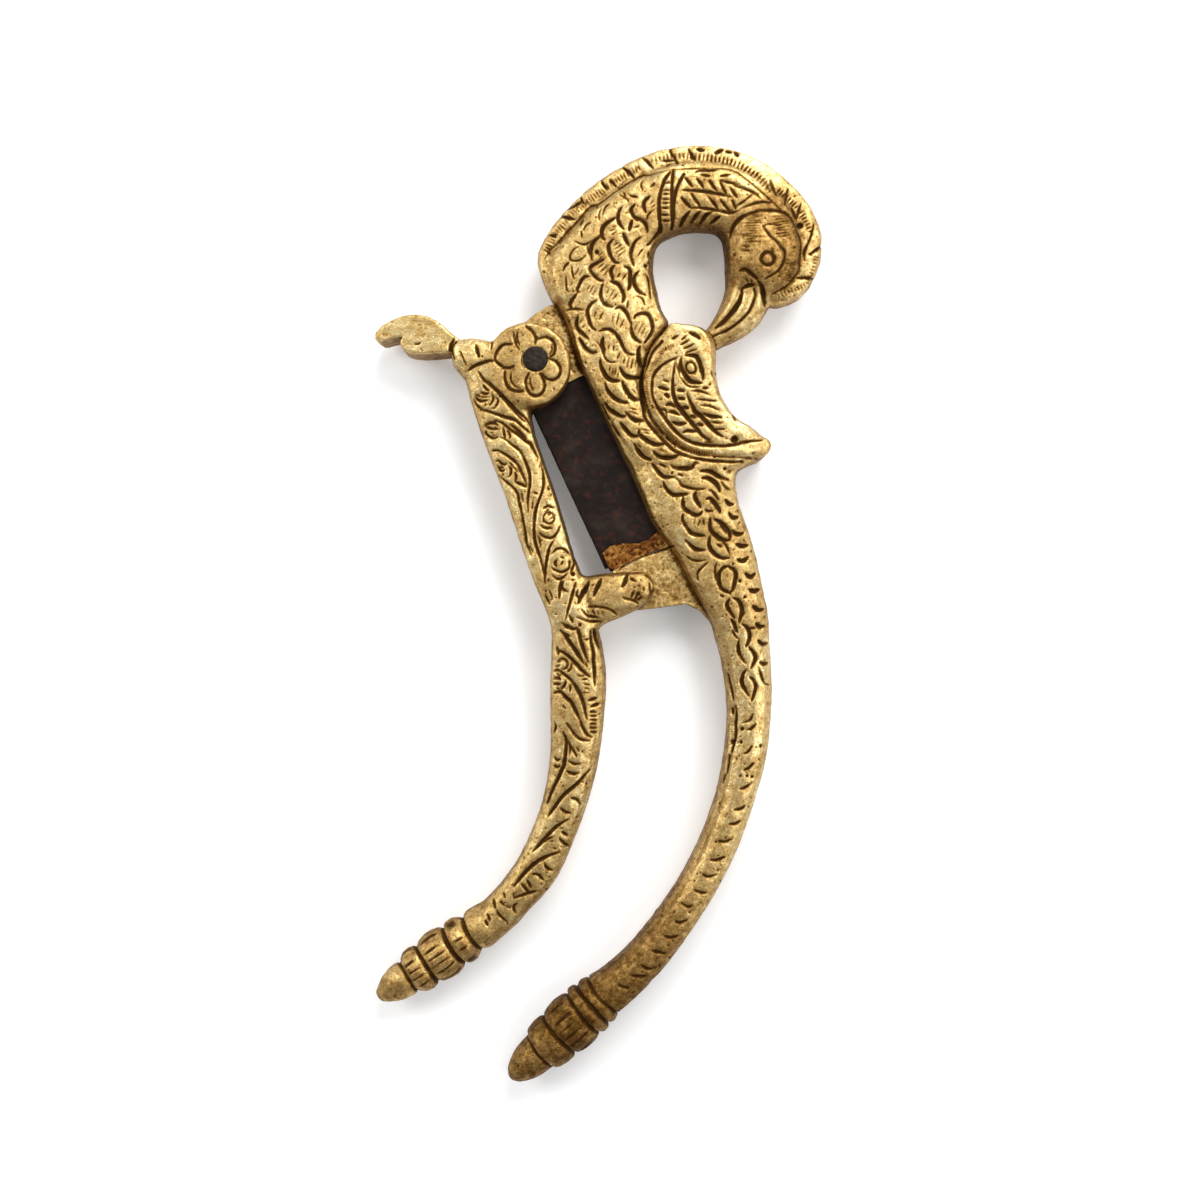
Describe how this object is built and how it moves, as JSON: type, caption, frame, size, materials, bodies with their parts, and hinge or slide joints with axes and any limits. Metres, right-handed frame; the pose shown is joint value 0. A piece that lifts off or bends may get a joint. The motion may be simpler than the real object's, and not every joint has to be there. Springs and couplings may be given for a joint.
{
  "type": "betel nut cutter",
  "caption": "Cast brass betel nut cutter: a bird-shaped lever with an iron blade, riveted to a floral lever with a slotted anvil arm and a guide finger.",
  "frame": {"origin": "on the rivet's axis, at the flat rear face of the rivet and rear boss, which is the plane the cutter lies on", "axes": "+Z along the rivet towards the viewer's side, +Y along the levers from the handles to the crest, +X from the anvil lever to the bird lever"},
  "size_m": [0.0847, 0.1777, 0.013],
  "materials": {
    "cast_brass": "lost-wax cast brass, chased by hand, worn bright on the high places and dark brown in the grooves",
    "braze_brass": "rough, unfinished brass run over the end of the blade",
    "blade_iron": "forged iron, dark brown oxide skin",
    "rivet_iron": "iron rivet end, filed nearly flush and darkened"
  },
  "bodies": {
    "anvil_lever": {"anvil_arm": "cast_brass", "front_boss": "cast_brass", "rear_boss": "cast_brass", "thumb_scroll": "cast_brass", "front_finger": "cast_brass", "rear_finger": "cast_brass", "floral_handle": "cast_brass", "floral_finial": "cast_brass", "pivot_rivet": "rivet_iron"},
    "bird_lever": {"bird_body": "cast_brass", "bird_neck": "cast_brass", "neck_collar": "cast_brass", "bird_nape": "cast_brass", "bird_head": "cast_brass", "bird_beak": "cast_brass", "bird_crest": "cast_brass", "bird_wing": "cast_brass", "tail_handle": "cast_brass", "tail_finial": "cast_brass", "pivot_tongue": "cast_brass", "guide_lug": "cast_brass", "blade": "blade_iron", "blade_braze": "braze_brass"}
  },
  "joints": [
    {"name": "lever_pivot", "type": "hinge", "parent": "anvil_lever", "child": "bird_lever", "pos_m": [0, 0, 0.0065], "axis": [0, 0, 1], "range_deg": [-6.5, 60]}
  ]
}
